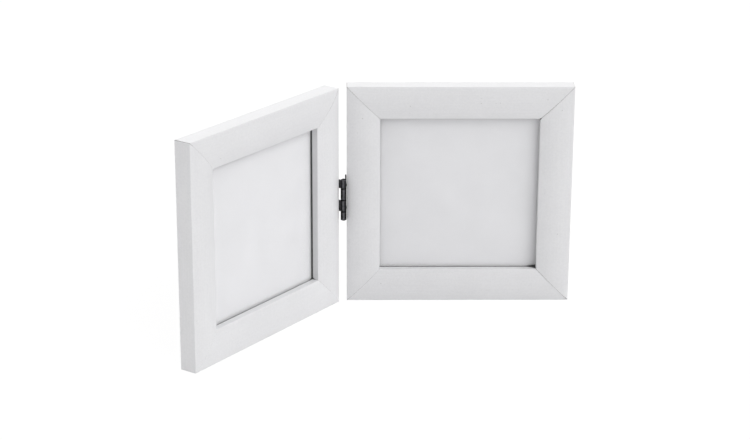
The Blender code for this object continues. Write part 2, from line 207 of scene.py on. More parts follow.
def makePaint(part):
    graph = newFinish("white satin paint on the " + part)
    # Each part's lightness holds some painted shade
    shadedLightness, paintedWallShade = paint["parts"][part]
    alongRail = graph.add("ShaderNodeAttribute", output="Vector", attribute_name="railPlace")
    inward, forward, along = graph.split(alongRail)
    blotch = graph.noise(38.0, 4.0, 0.55)
    fine = graph.noise(700.0, 3.0, 0.65)
    grain = graph.noise(1.0, 3.0, 0.6, at=alongRail, stretch=(900.0, 900.0, 26.0))
    tone = graph.smooth(blotch * 0.26 + fine * 0.50 + grain * 0.24, 0.38, 0.62)
    colour = graph.mix(tone, scaled(paint["low"], shadedLightness), scaled(paint["high"], shadedLightness))
    # Painted shade: the paint is greyed where it faces down
    facing = graph.split(graph.add("ShaderNodeNewGeometry", output="Normal"))[2]
    colour = graph.mix(graph.smooth(facing, -0.34, -0.9) * paint["undersideShade"], colour, paint["grimeAndShade"])
    # Grime gathers in the mitres, thin and uneven
    fromMitre = halfSide - inward - abs(along)
    patches = graph.smooth(graph.noise(190.0, 3.0, 0.6, 4.0), 0.42, 0.66)
    nearMitre = graph.add("ShaderNodeAttribute", output="Vector", attribute_name="nearMitre")
    opened, shadeWedgeReach, shadeDotRadius = graph.split(nearMitre)
    seam = graph.smooth(fromMitre, *paint["seamEdge"]) * (opened / paint["seamOpen"]).do("MINIMUM", 1.0)
    colour = graph.mix(seam * (patches * 0.5 + 0.3), colour, paint["grimeAndShade"])
    # Painted shade: the lip's inner wall is greyed, and some of its corners are darkened by a wedge, wider at the
    # pane, or a dot
    toWall = railWidth - inward
    depth = forward * -1 - moulding["innerDrop"]
    wallShadeMask = graph.smooth(toWall, *paint["wallShadeEdge"]) * (depth > paint["wallShadeTop"])
    colour = graph.mix(wallShadeMask, colour, graph.mix(paintedWallShade, colour, paint["grimeAndShade"]))
    back = depth / moulding["lipThickness"]
    shadeWedge = ((shadeWedgeReach * back * back - fromMitre) / paint["shadeWedgeBlur"]).limited()
    shadeWedge = shadeWedge * (toWall < paint["shadeWedgeWidth"])
    fromCorner = (toWall * toWall + fromMitre * fromMitre).do("SQRT")
    dot = graph.smooth(fromCorner - shadeDotRadius, paint["shadeDotBlur"], -paint["shadeDotBlur"]) * (shadeDotRadius > 0.0)
    colour = graph.mix(shadeWedge.do("MAXIMUM", dot) * 0.95, colour, paint["cornerShade"])
    dust = specks(graph, *paint["specks"])
    colour = graph.mix(dust * 0.6, colour, paint["dust"])
    roughness = graph.smooth(fine * 0.6 + blotch * 0.4, 0.3, 0.7, 0.36, 0.46)
    orangePeel = graph.noise(1300.0, 2.0, 0.5, 2.0)
    height = orangePeel * 0.5 + grain * 0.3 + dust * 0.6 + blotch * 2.0
    return dress(graph, colour, roughness, height, paint["bump"], 0.55)


# Raw wood, darker than bare wood, as painted shade in the mitre gaps and the rebate
shadedWoodLook = {"low": (0.10, 0.085, 0.07, 1), "high": (0.20, 0.175, 0.15, 1), "bump": 0.05 * mm}


def makeShadedRawWood():
    graph = newFinish("raw wood with painted shade")
    fibre = graph.noise(900.0, 4.0, 0.7)
    colour = graph.mix(fibre, shadedWoodLook["low"], shadedWoodLook["high"])
    return dress(graph, colour, graph.smooth(fibre, 0.3, 0.7, 0.8, 0.95), fibre, shadedWoodLook["bump"], 0.6)


paneLook = {
    "low": (0.94, 0.955, 0.957, 1),
    "high": (0.965, 0.975, 0.975, 1),
    "alpha": (0.05, 0.075),  # clean, and where it is smeared
    "edgeLow": (0.42, 0.55, 0.52, 1),
    "edgeHigh": (0.60, 0.72, 0.69, 1),
    "edgeAlpha": 0.7,
    "bump": 0.02 * mm,
}


def makePane():
    graph = newFinish("clear pane")
    smear = graph.noise(26.0, 3.0, 0.6)
    setShader(graph, Base_Color=graph.mix(smear, paneLook["low"], paneLook["high"]))
    setShader(graph, Roughness=graph.smooth(smear, 0.35, 0.7, 0.03, 0.10))
    setShader(graph, Alpha=graph.smooth(smear, 0.3, 0.7, *paneLook["alpha"]))
    return graph.material


def makePaneEdge():
    graph = newFinish("pane edge")
    frost = graph.noise(1400.0, 3.0, 0.6)
    colour = graph.mix(frost, paneLook["edgeLow"], paneLook["edgeHigh"])
    roughness = graph.smooth(frost, 0.3, 0.7, 0.25, 0.45)
    return dress(graph, colour, roughness, frost, paneLook["bump"], 0.5, Alpha=paneLook["edgeAlpha"])


insert = {
    "low": (0.842, 0.839, 0.858, 1),
    "high": (0.872, 0.869, 0.888, 1),
    # near black, for the painted shade under the lip
    "rim": (0.035, 0.034, 0.034, 1),
    "shadeEdge": (0.05 * mm, 0.50 * mm),  # how far under the lip the painted shade starts, and is full
    "shadeWedges": {  # painted shade wedge at a lower corner: reach, height, and how much lower the rim is below
        "left": (3.0 * mm, 0.9 * mm, 0.60 * mm),
        "right": (8.0 * mm, 1.3 * mm, 0.0),
    },
    "specks": (300.0, 0.22 * mm, 0.97),
    "bump": 0.02 * mm,
}


def makeInsertPaper(name, matrix):
    # Painted shade: dark where the card runs under the lip, with a wedge that rises to its lower right corner
    graph = newFinish(name + " bare insert paper")
    cloud = graph.noise(30.0, 4.0, 0.6)
    fibre = graph.noise(1900.0, 4.0, 0.7, stretch=(1.0, 1.0, 0.5))
    tone = graph.smooth(cloud * 0.55 + fibre * 0.45, 0.36, 0.64)
    colour = graph.mix(tone, insert["low"], insert["high"])
    colour = graph.mix(specks(graph, *insert["specks"]) * 0.4, colour, paint["dust"])
    x, y, z = graph.placeFrom(matrix.translation)
    across = x * matrix[0][0] + y * matrix[1][0]
    opening = halfSide - railWidth
    reach, height, drop = insert["shadeWedges"][name]
    lift = ((across * -1 - opening) / reach + 1.0).limited() * height
    below = z * -1 + lift - drop
    fromOpening = abs(across).do("MAXIMUM", z).do("MAXIMUM", below) - opening
    colour = graph.mix(graph.smooth(fromOpening, *insert["shadeEdge"]) * 0.96, colour, insert["rim"])
    return dress(graph, colour, graph.smooth(fibre, 0.3, 0.7, 0.62, 0.78), fibre, insert["bump"], 0.45)


boards = {  # dark, light and seed
    "grey packing card": ((0.33, 0.31, 0.29, 1), (0.46, 0.44, 0.41, 1), 3.0),
    "fibre board": ((0.20, 0.115, 0.06, 1), (0.36, 0.225, 0.125, 1), 9.0),
    "specks": (420.0, 0.22 * mm, 0.82),
    "bump": 0.06 * mm,
}


def makeBoard(name):
    # Pressed fibres, each layer of noise stretched another way
    graph = newFinish(name)
    dark, light, seed = boards[name]
    flat = graph.noise(1500.0, 3.0, 0.6, seed, stretch=(1.0, 1.0, 0.22))
    level = graph.noise(1300.0, 3.0, 0.6, seed + 1, stretch=(0.25, 0.25, 1.0))
    cloud = graph.noise(60.0, 4.0, 0.6, seed + 2)
    fibre = flat * 0.5 + level * 0.5
    colour = graph.mix(graph.smooth(fibre * 0.75 + cloud * 0.25, 0.34, 0.66), dark, light)
    chips = specks(graph, *boards["specks"])
    colour = graph.mix(chips * 0.45, colour, scaled(dark, 0.45))
    roughness = graph.smooth(fibre, 0.3, 0.7, 0.68, 0.86)
    return dress(graph, colour, roughness, fibre + chips * 0.3, boards["bump"], 0.6)


plating = {
    # Dark, light, and rubbed through, also the colour of the painted highlight
    "leaf": ((0.008, 0.008, 0.009, 1), (0.026, 0.026, 0.029, 1), (0.140, 0.139, 0.149, 1)),
    "pin": ((0.005, 0.005, 0.005, 1), (0.012, 0.012, 0.013, 1), (0.060, 0.059, 0.061, 1)),
    "screw": ((0.050, 0.050, 0.053, 1), (0.130, 0.129, 0.134, 1), (0.300, 0.295, 0.290, 1)),
    "flat": (0.085, 0.084, 0.088, 1),  # lighter on the flat of a leaf
    "flatEdge": (1.95 * mm, 2.6 * mm),  # how far from the axis it starts, and is full
    "highlightEdge": (1.15 * mm, 0.1 * mm),  # the same for the painted highlight line, from its middle
    "highlightReach": 0.9 * mm,  # how far in front of the axis the highlight line lies at least
    "highlightJoinEdge": (0.25 * mm, 0.85 * mm),  # how it fades out towards the next knuckle
    "rim": 0.25 * mm,
    "leftHighlightTurn": -9.0,  # degrees from the barrel's front to the left leaf's painted highlight line
    "bump": 0.02 * mm,
}


def makeDarkSteel(name, kind, front):
    # Antique plating, with a painted highlight down the barrel's front and wear rubbed through at the cut ends
    graph = newFinish(name + " antique plating")
    dark, light, rubbedAndHighlight = plating[kind]
    patch = graph.noise(620.0, 4.0, 0.6)
    scratch = graph.noise(5200.0, 2.0, 0.5, 3.0, stretch=(1.0, 1.0, 0.12))
    colour = graph.mix(graph.smooth(patch, 0.3, 0.6), dark, light)
    x, y, z = graph.placeFrom(hingeMiddle)
    flat = graph.smooth((x * x + y * y).do("SQRT"), *plating["flatEdge"]) * graph.smooth(patch, 0.2, 0.55)
    colour = graph.mix(flat, colour, plating["flat"])
    reach = x * front.x + y * front.y
    side = abs(x * front.y - y * front.x)
    height = abs(z)
    fromJoin = height.do("MINIMUM", abs(height - innerKnuckle))
    # Painted highlight: a lighter line down the barrel's front
    line = graph.smooth(side, *plating["highlightEdge"]) * (reach > plating["highlightReach"])
    line = line * graph.smooth(fromJoin, *plating["highlightJoinEdge"])
    rim = graph.smooth(height, hingeHalf - plating["rim"], hingeHalf - plating["rim"] / 4)
    uneven = graph.smooth(patch * 0.5 + scratch * 0.5, 0.34, 0.60)
    wornAndHighlight = line.do("MAXIMUM", rim) * (uneven * 0.6 + 0.35)
    wornAndHighlight = wornAndHighlight.do("MAXIMUM", graph.smooth(patch * 0.7 + scratch * 0.3, 0.58, 0.70) * 0.3)
    setShader(graph, Metallic=1.0, Specular_Tint=grey(0.0))
    colour = graph.mix(wornAndHighlight, colour, rubbedAndHighlight)
    roughness = graph.smooth(patch + wornAndHighlight * 0.2, 0.3, 0.8, 0.44, 0.30)
    return dress(graph, colour, roughness, patch * 0.6 + scratch * 0.4, plating["bump"], 0.5)


zincLook = {"low": (0.40, 0.41, 0.415, 1), "high": (0.58, 0.585, 0.58, 1),
            "stain": (0.42, 0.38, 0.31, 1), "bump": 0.015 * mm}


def makeZinc():
    graph = newFinish("zinc plating")
    spangle = graph.noise(480.0, 3.0, 0.6)
    brushed = graph.noise(6500.0, 2.0, 0.5, 5.0, stretch=(1.0, 1.0, 0.07))
    stain = graph.smooth(graph.noise(210.0, 4.0, 0.65, 6.0), 0.52, 0.72)
    tone = graph.smooth(spangle * 0.6 + brushed * 0.4, 0.35, 0.65)
    colour = graph.mix(tone, zincLook["low"], zincLook["high"])
    colour = graph.mix(stain * 0.5, colour, zincLook["stain"])
    roughness = graph.smooth(tone + stain * 0.4, 0.2, 1.2, 0.26, 0.48)
    height = brushed * 0.6 + spangle * 0.4
    return dress(graph, colour, roughness, height, zincLook["bump"], 0.5, Metallic=1.0)


nailLook = {"low": (0.36, 0.36, 0.365, 1), "high": (0.58, 0.58, 0.57, 1),
            "rust": (0.22, 0.12, 0.07, 1), "bump": 0.02 * mm}


def makeNailSteel():
    graph = newFinish("nail steel")
    mill = graph.noise(3000.0, 3.0, 0.6, stretch=(1.0, 1.0, 0.2))
    rust = graph.smooth(graph.noise(520.0, 4.0, 0.7, 8.0), 0.55, 0.70)
    colour = graph.mix(mill, nailLook["low"], nailLook["high"])
    colour = graph.mix(rust * 0.7, colour, nailLook["rust"])
    roughness = graph.smooth(mill + rust, 0.2, 1.4, 0.32, 0.7)
    height = mill * 0.4 + rust * 0.6
    return dress(graph, colour, roughness, height, nailLook["bump"], 0.5, Metallic=1 - rust * 0.6)


# Meshes

def newObject(name, data):
    made = bpy.data.objects.new(name, data)
    scene.collection.objects.link(made)
    return made


mergeReach = 0.001 * mm
sharpAngle = 32.0


def meshFrom(work, name):
    mesh = bpy.data.meshes.new(name)
    work.to_mesh(mesh)
    work.free()
    return mesh


def cleanMesh(mesh):
    work = bmesh.new()
    work.from_mesh(mesh)
    bmesh.ops.remove_doubles(work, verts=work.verts, dist=mergeReach)
    bmesh.ops.recalc_face_normals(work, faces=work.faces)
    work.to_mesh(mesh)
    work.free()
    mesh.shade_smooth()
    mesh.set_sharp_from_angle(angle=radians(sharpAngle))
    return mesh


def bakeMesh(made, spent=()):
    bpy.context.view_layer.update()
    evaluated = made.evaluated_get(bpy.context.evaluated_depsgraph_get())
    mesh = bpy.data.meshes.new_from_object(evaluated)
    for old in (made, *spent):
        bpy.data.objects.remove(old, do_unlink=True)
    return cleanMesh(mesh)


def addOutline(curve, outline):
    spline = curve.splines.new("POLY")
    spline.points.add(len(outline) - 1)
    for point, (x, y) in zip(spline.points, outline):
        point.co = (x, y, 0, 1)
    spline.use_cyclic_u = True


def flatPiece(outlines, thickness, edgeRound=0.0):
    # A flat outline with its holes, this thick about z = 0, its rims rounded
    curve = bpy.data.curves.new("outline", "CURVE")
    curve.dimensions = "2D"
    curve.fill_mode = "BOTH"
    curve.extrude = thickness / 2 - edgeRound
    curve.bevel_depth = edgeRound
    curve.bevel_resolution = 2
    curve.offset = -edgeRound
    for outline in outlines:
        addOutline(curve, outline)
    return bakeMesh(newObject("outline", curve))


def arc(centre, radius, start, end, steps):
    # Points of an arc between two angles in degrees
    angles = [radians(start + (end - start) * step / steps) for step in range(steps + 1)]
    return [(centre[0] + radius * cos(angle), centre[1] + radius * sin(angle)) for angle in angles]


def circle(centre, radius, steps=48):
    return arc(centre, radius, 0, 360, steps)[:-1]


def roundedSquare(half, radius, steps=8):
    near = half - radius
    outline = []
    for quarter, centre in enumerate(((near, near), (-near, near), (-near, -near), (near, -near))):
        outline += arc(centre, radius, 90 * quarter, 90 * quarter + 90, steps)
    return outline


def turned(profile, steps=48):
    # A profile of (radius, height) points turned about z
    work = bmesh.new()
    verts = [work.verts.new((radius, 0, height)) for radius, height in profile]
    edges = [work.edges.new(pair) for pair in zip(verts, verts[1:])]
    bmesh.ops.spin(work, geom=verts + edges, cent=(0, 0, 0), axis=(0, 0, 1), angle=2 * pi, steps=steps)
    return cleanMesh(meshFrom(work, "turned"))


def cut(mesh, cutters):
    body = newObject("cut", mesh)
    tools = [newObject("tool", cutter) for cutter in cutters]
    for tool in tools:
        modifier = body.modifiers.new("cut", "BOOLEAN")
        modifier.operation = "DIFFERENCE"
        modifier.solver = "EXACT"
        modifier.object = tool
    return bakeMesh(body, tools)


def moved(mesh, matrix):
    copy = mesh.copy()
    copy.transform(matrix)
    return copy


def addPiece(name, mesh, body, replaced, finishes=()):
    piece = newObject(name, mesh)
    for finish in finishes:
        mesh.materials.append(finish)
    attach(piece, body)
    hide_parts(*replaced)


def basis(x, y, z, place):
    # Matrix that lays a piece's own axes along these directions, at this place
    matrix = Matrix((x, y, z)).transposed().to_4x4()
    matrix.translation = place
    return matrix


# Where the two frames stand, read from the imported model

joints = {joint["name"]: joint for joint in frame["joints"]}
hingeMiddle = Vector(joints["fold"]["pos_m"])
halfSide = (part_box("right_top_rail")[1].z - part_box("right_bottom_rail")[0].z) / 2
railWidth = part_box("right_top_rail")[1].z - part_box("right_top_rail")[0].z
backPlane = joints["right_top_rail_button_turn"]["pos_m"][1]
baseMount = next(mount for mount in frame["record"]["mounts"] if mount["name"] == "right_base")
railDepth = 2 * (backPlane - baseMount["pos_m"][1])
buttonReach = joints["right_top_rail_button_turn"]["pos_m"][2] - halfSide
members = ("top_rail", "outer_stile", "bottom_rail", "hinge_stile")


def standOf(side, hand):
    # A frame's own axes: x up x back, y up and z to the back, about the middle of its back plane
    top = joints[f"{side}_top_rail_button_turn"]
    bottom = joints[f"{side}_bottom_rail_button_turn"]
    back = Vector(top["axis"]).normalized()
    middle = (Vector(top["pos_m"]) + Vector(bottom["pos_m"])) / 2
    outward = hand * back.cross(up)
    across = up.cross(back)
    angles = {"top_rail": 90, "bottom_rail": 270}
    angles["outer_stile"] = 0 if outward.dot(across) > 0 else 180
    angles["hinge_stile"] = 180 - angles["outer_stile"]
    turns = {name: Matrix.Rotation(radians(angle), 4, "Z") for name, angle in angles.items()}
    return {"body": side + "_frame", "back": back, "outward": outward, "angles": angles,
            "turns": turns, "matrix": basis(across, up, back, middle)}


stands = {"right": standOf("right", 1), "left": standOf("left", -1)}


def depthOf(node):
    # Front and back of a node in the right frame, from its back plane
    low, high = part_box(node)
    return low.y - backPlane, high.y - backPlane


# Camera, as fitted to the frames' edges in the photograph

lens = {
    "fromHinge": (-0.31 * mm, -1394.1 * mm, 555.7 * mm),
    "yaw": 0.9328,
    "pitch": 19.4851,
    "roll": 0.2419,
    "focalPixels": 2074.49,
    "photoPixels": 750,
    "sensor": 36.0,
}


def makeCamera():
    yaw, pitch, roll = [radians(lens[turn]) for turn in ("yaw", "pitch", "roll")]
    forward = Vector((sin(yaw) * cos(pitch), cos(yaw) * cos(pitch), -sin(pitch)))
    level = Vector((cos(yaw), -sin(yaw), 0))
    right = level * cos(roll) + level.cross(forward) * sin(roll)
    data = bpy.data.cameras.new("photo camera")
    data.sensor_width = lens["sensor"]
    data.lens = lens["focalPixels"] / lens["photoPixels"] * lens["sensor"]
    camera = newObject("photo camera", data)
    foot = Vector((hingeMiddle.x, hingeMiddle.y, 0))
    camera.matrix_world = basis(right, right.cross(forward), -forward, foot + Vector(lens["fromHinge"]))
    scene.camera = camera


makeCamera()
print("camera set")


# Soft studio: a pale floor, white surroundings and wide lamps

studio = {
    "size": 9.0,
    "seen": 0.12,  # the floor's grey where it is seen, under its glow
    "glow": 0.92,
    "lit": 0.92,  # its grey for the light that it throws back
    "lamps": {  # azimuth from the front to the right, elevation, width and strength
        "key": (45, 30, 60, 1.30),
        "high": (60, 45, 70, 0.78),
        "left": (-75, 20, 80, 1.14),
        "front": (-40, 8, 50, 0.21),
        "back": (180, 50, 80, 1.52),
    },
}


def seenShare(graph):
    # 1 for what the camera sees, straight, in a mirror or through glass
    node = graph.add("ShaderNodeLightPath").socket.node
    rays = [Value(graph, node.outputs[f"Is {kind} Ray"]) for kind in ("Camera", "Glossy", "Transmission")]
    return rays[0].do("MAXIMUM", rays[1]).do("MAXIMUM", rays[2])


def makeStudio():
    graph = newFinish("pale floor")
    share = seenShare(graph)
    setShader(graph, Base_Color=graph.mix(share, grey(studio["lit"]), grey(studio["seen"])))
    setShader(graph, Emission_Color=graph.mix(share, grey(0.0), grey(studio["glow"])))
    setShader(graph, Emission_Strength=1.0, Roughness=0.9, Specular_IOR_Level=0.0)
    work = bmesh.new()
    bmesh.ops.create_grid(work, x_segments=2, y_segments=2, size=studio["size"] / 2)
    mesh = meshFrom(work, "floor")
    mesh.materials.append(graph.material)
    newObject("floor", mesh)
    world = bpy.data.worlds.new("white studio")
    scene.world = world
    world.use_nodes = True
    background = world.node_tree.nodes["Background"]
    background.inputs["Color"].default_value = grey(1.0)
    world.node_tree.links.new(seenShare(Graph(world.node_tree)).socket, background.inputs["Strength"])
    for name, (azimuth, elevation, width, strength) in studio["lamps"].items():
        lamp = bpy.data.lights.new(name, "SUN")
        lamp.angle = radians(width)
        lamp.energy = strength
        made = newObject(name + " lamp", lamp)
        turn = radians(azimuth)
        rise = radians(elevation)
        level = cos(rise)
        source = Vector((sin(turn) * level, -cos(turn) * level, sin(rise)))
        made.rotation_euler = source.to_track_quat("Z", "Y").to_euler()


makeStudio()
scene.view_settings.view_transform = "Standard"
print("studio lit")


# Mouldings: one section swept along each rail, its ends slid to the mitres

moulding = {
    "faceCrown": 2.0 * mm,
    "innerDrop": 1.0 * mm,
    "lipThickness": 4.6 * mm,
    "rebateWidth": 4.0 * mm,
    "edgeRound": 0.5 * mm,
    "faceSteps": 44,
    "roundSteps": 7,
    "rings": 57,
    "slack": {"Tip reach": 1.5 * mm, "Back gap": 0.10 * mm, "Unevenness": 0.35 * mm, "Waviness": 0.08 * mm},
    "faceBlend": (0.2, 0.9),  # where the outer gap turns into the inner one, of the width
    "chipScale": 260.0,
    "chipStart": 0.58,
    "swellScale": 34.0,
    "swellFront": 2.0 * mm,  # how far behind the face the waviness fades out
    "seed": 3.7,
    "seedStep": 11.3,
    "sawnFace": 0.4,  # what faces along the rail more than this is raw wood, darkened as painted shade
}
mitreGaps = {  # how far each mitre stands open in mm: more at its tip, near the outer and near the inner edge
    "left_top_outer": (0.20, 0.05, 0.02),
    "left_top_hinge": (0.24, 0.10, 0.03),
    "left_bottom_hinge": (0.16, 0.00, 0.06),
    "left_bottom_outer": (0.01, 0.00, 0.00),
    "right_top_hinge": (0.18, 0.18, 0.10),
    "right_top_outer": (0.16, 0.10, 0.30),
    "right_bottom_hinge": (0.10, 0.08, 0.06),
    "right_bottom_outer": (0.42, 0.12, 0.28),
}
paintedCornerShade = {  # painted shade at an inner corner: reach of a dark wedge, or radius of a dark dot, in mm
    "left_bottom_hinge": (1.2, 0.0),
    "right_top_outer": (0.0, 0.8),
    "right_bottom_outer": (7.0, 0.0),
}


def bowedFace():
    # The cushioned face, one arc from the outer edge to the lower inner edge
    chord = Vector((railWidth, -moulding["innerDrop"]))
    crown = moulding["faceCrown"]
    radius = (chord.length_squared / 4 + crown**2) / (2 * crown)
    along = chord.normalized()
    out = Vector((-along.y, along.x))
    centre = chord / 2 - out * (radius - crown)
    half = asin(chord.length / 2 / radius)
    steps = moulding["faceSteps"]
    angles = [half * (2 * step / steps - 1) for step in range(steps + 1)]
    return [centre + radius * (along * sin(angle) + out * cos(angle)) for angle in angles]


def easedCorner(before, corner, after, radius):
    # An arc that touches both sides of a corner
    first = (before - corner).normalized()
    second = (after - corner).normalized()
    half = first.angle(second) / 2
    centre = corner + (first + second).normalized() * radius / sin(half)
    reach = radius / tan(half)
    start = (corner + first * reach - centre).normalized()
    end = (corner + second * reach - centre).normalized()
    steps = moulding["roundSteps"]
    return [centre + start.slerp(end, step / steps) * radius for step in range(steps + 1)]


def sectionOutline():
    # x inwards from the outer edge, y forwards from the outer front edge
    face = bowedFace()
    lipBack = -moulding["innerDrop"] - moulding["lipThickness"]
    rebate = railWidth - moulding["rebateWidth"]
    backOuter = Vector((0, -railDepth))
    backInner = Vector((rebate, -railDepth))
    lipInner = Vector((railWidth, lipBack))
    radius = moulding["edgeRound"]
    outline = easedCorner(backInner, backOuter, face[0], radius)
    outline += easedCorner(backOuter, face[0], face[1], radius)
    outline += face[2:-2]
    outline += easedCorner(face[-2], face[-1], lipInner, radius)
    outline += [lipInner, Vector((rebate, lipBack)), backInner]
    return outline


def mouldingGraph():
    tree = bpy.data.node_groups.new("mitred moulding", "GeometryNodeTree")
    sizes = ["Length", "Width", "Depth", "Rebate", "Lip back", *moulding["slack"], "Seed"]
    graph = Graph(tree, Object=["Section"], Int=["Rings"], Float=sizes,
                  Vector=["Low end gaps", "High end gaps"], Material=["Paint", "Shaded raw wood"])
    ask = graph.ask
    line = graph.add("GeometryNodeCurvePrimitiveLine", {"Start": (0, 0, -0.5), "End": (0, 0, 0.5)})
    rings = graph.add("GeometryNodeResampleCurve", {"Curve": line, "Count": ask("Rings")})
    section = graph.add("GeometryNodeObjectInfo", {"Object": ask("Section")}, output="Geometry")
    sweep = {"Curve": rings, "Profile Curve": section, "Fill Caps": True}
    bar = graph.add("GeometryNodeCurveToMesh", sweep)
    x, y, z = graph.split(graph.add("GeometryNodeInputPosition"))
    # Rings crowd towards the ends, and each end's gap opens at the frame's outer corner
    share = (z * pi).do("SINE")
    end = share.do("SIGN")
    chip = graph.noise(moulding["chipScale"], 2.0, 0.5, ask("Seed"), graph.join(x, end, 0.0))
    isHigh = end > 0.0
    tip, outer, inner = [low + (high - low) * isHigh for low, high in
                         zip(graph.split(ask("Low end gaps")), graph.split(ask("High end gaps")))]
    gap = tip * (x / ask("Tip reach") * -1).do("EXPONENT")
    gap = gap + outer + (inner - outer) * graph.smooth(x / ask("Width"), *moulding["faceBlend"])
    chips = (chip - moulding["chipStart"]).do("MAXIMUM", 0.0)
    gap = gap * (0.75 + chip / 2) + ask("Unevenness") * chips
    gap = gap + ask("Back gap") * (y / ask("Depth") * -1).do("MAXIMUM", 0.0)
    reach = ask("Length") / 2 - x - gap / 2
    # The face is a little wavy, the back is flat
    along = graph.join(x, 0.0, share * ask("Length") / 2)
    swell = graph.noise(moulding["swellScale"], 2.0, 0.5, ask("Seed") + 7, along)
    front = graph.smooth(y, -moulding["swellFront"], 0.0)
    shaped = graph.join(x, y - ask("Waviness") * swell * front, share * reach)
    solid = graph.add("GeometryNodeSetPosition", {"Geometry": bar, "Position": shaped})
    whole = graph.add("GeometryNodeRealizeInstances", {"Geometry": solid})
    painted = graph.add("GeometryNodeSetMaterial", {"Geometry": whole, "Material": ask("Paint")})
    # The sawn ends and the rebate are bare wood, coloured darker than it as painted shade
    sawn = abs(graph.split(graph.add("GeometryNodeInputNormal"))[2]) > moulding["sawnFace"]
    touch = 0.05 * mm
    inRebate = (x > ask("Rebate") - touch) * (y < touch - ask("Lip back"))
    raw = {"Geometry": painted, "Selection": sawn.do("MAXIMUM", inRebate), "Material": ask("Shaded raw wood")}
    finished = graph.add("GeometryNodeSetMaterial", raw)
    graph.add("NodeGroupOutput", {"Geometry": finished})
    return graph


def growMesh(name, graph, values):
    base = newObject(name, bpy.data.meshes.new(name))
    modifier = base.modifiers.new(name, "NODES")
    modifier.node_group = graph.tree
    for key, value in values.items():
        modifier[graph.keys[key]] = value
    return bakeMesh(base)


# Fasteners and what they are cut for

nail = {"wing": 5.5 * mm, "sheet": 0.5 * mm, "inset": 13.5 * mm, "play": 0.15 * mm, "edgeRound": 0.06 * mm}
panScrew = {
    "headRadius": 2.4 * mm,
    "headHeight": 1.3 * mm,
    "rim": 0.18 * mm,
    "domeSteps": 9,
    "shankRadius": 1.1 * mm,
    "length": 8.0 * mm,
    "tip": 1.6 * mm,
    "looseTurn": 40,
    "recessWidth": 0.55 * mm,
    "recessLength": 2.6 * mm,
    "recessDepth": 0.7 * mm,
}
flatScrew = {
    "headRadius": 1.9 * mm,
    "headHeight": 0.9 * mm,
    "rim": 0.06 * mm,
    "shankRadius": 0.9 * mm,
    "length": 8.0 * mm,
    "tip": 1.5 * mm,
    "looseTurn": 60,
    "recessWidth": 0.45 * mm,
    "recessLength": 2.2 * mm,
    "recessDepth": 0.5 * mm,
    "spacing": 17.0 * mm,
    "sink": 0.1 * mm,
}
recessFoot = 0.45  # how much of a cross recess's length is left at its foot
holePlay = 0.15 * mm
cutterSpare = 1.0 * mm  # how far a cutter stands out of what it cuts


def nailOutline(play=0.0):
    # A V with its tip at the origin and its wings along +x and +y
    wing = nail["wing"] + play
    sheet = nail["sheet"] + play
    return [(-play, -play), (wing, -play), (wing, sheet), (sheet, sheet), (sheet, wing), (-play, wing)]


def crossRecess(screw, top):
    # Two tapered bars that sink into a screw's head
    half = screw["recessLength"] / 2
    foot = half * recessFoot
    depth = screw["recessDepth"]
    taper = [(-half, depth), (half, depth), (half, 0), (foot, -depth), (-foot, -depth), (-half, 0)]
    bar = flatPiece([taper], screw["recessWidth"])
    upright = Matrix.Translation((0, 0, top)) @ Matrix.Rotation(pi / 2, 4, "X")
    return [moved(bar, Matrix.Rotation(turn, 4, "Z") @ upright) for turn in (0, pi / 2)]


def dome(radius, base, height, steps):
    # Half the profile of a domed head, from its top down to its rim
    angles = [radians(90 * step / steps) for step in range(steps + 1)]
    return [(radius * sin(angle), base + height * cos(angle)) for angle in angles]


def screwMesh(screw, head, top):
    # A turned head whose shank points down from z = 0, with a cross recess in its top
    length = screw["length"]
    profile = head + [(screw["shankRadius"], screw["tip"] - length), (0, -length)]
    return cut(turned(profile), crossRecess(screw, top))


def panScrewMesh():
    rim = panScrew["rim"]
    bevel = rim * 0.4
    radius = panScrew["headRadius"]
    top = panScrew["headHeight"]
    head = dome(radius, rim, top - rim, panScrew["domeSteps"])
    head += [(radius, bevel), (radius - bevel, 0), (panScrew["shankRadius"], 0)]
    return screwMesh(panScrew, head, top)


def flatScrewMesh():
    rim = flatScrew["rim"]
    radius = flatScrew["headRadius"]
    head = [(0, 0), (radius - rim, 0), (radius, -rim), (flatScrew["shankRadius"], -flatScrew["headHeight"])]
    return screwMesh(flatScrew, head, 0)


def drill(radius, depth):
    # Cutter for a hole that starts at z = 0
    profile = [(0, cutterSpare), (radius, cutterSpare), (radius, -depth), (0, -depth)]
    return turned(profile, 32)


def ringGraph():
    # Copies of one piece, evenly round a ring, each turned with its place
    tree = bpy.data.node_groups.new("ring of pieces", "GeometryNodeTree")
    graph = Graph(tree, Object=["Piece"], Int=["Count", "Seed"], Material=["Finish"],
                  Float=["Radius", "Start", "Turn", "Loose turn"])
    ask = graph.ask
    index = graph.add("GeometryNodeInputIndex")
    angle = index * (2 * pi) / ask("Count") + ask("Start")
    spot = graph.join(angle.do("COSINE") * ask("Radius"), angle.do("SINE") * ask("Radius"), 0.0)
    points = graph.add("GeometryNodePoints", {"Count": ask("Count"), "Position": spot})
    chance = {2: ask("Loose turn") * -1, 3: ask("Loose turn"), "ID": index, "Seed": ask("Seed")}
    loose = graph.add("FunctionNodeRandomValue", chance, 1, data_type="FLOAT")
    turn = {"Axis": (0, 0, 1), "Angle": angle + ask("Turn") + loose}
    spin = graph.add("FunctionNodeAxisAngleToRotation", turn)
    piece = graph.add("GeometryNodeObjectInfo", {"Object": ask("Piece")}, output="Geometry")
    copies = {"Points": points, "Instance": piece, "Rotation": spin}
    ring = graph.add("GeometryNodeInstanceOnPoints", copies)
    whole = graph.add("GeometryNodeRealizeInstances", {"Geometry": ring})
    finished = graph.add("GeometryNodeSetMaterial", {"Geometry": whole, "Material": ask("Finish")})
    graph.add("NodeGroupOutput", {"Geometry": finished})
    return graph


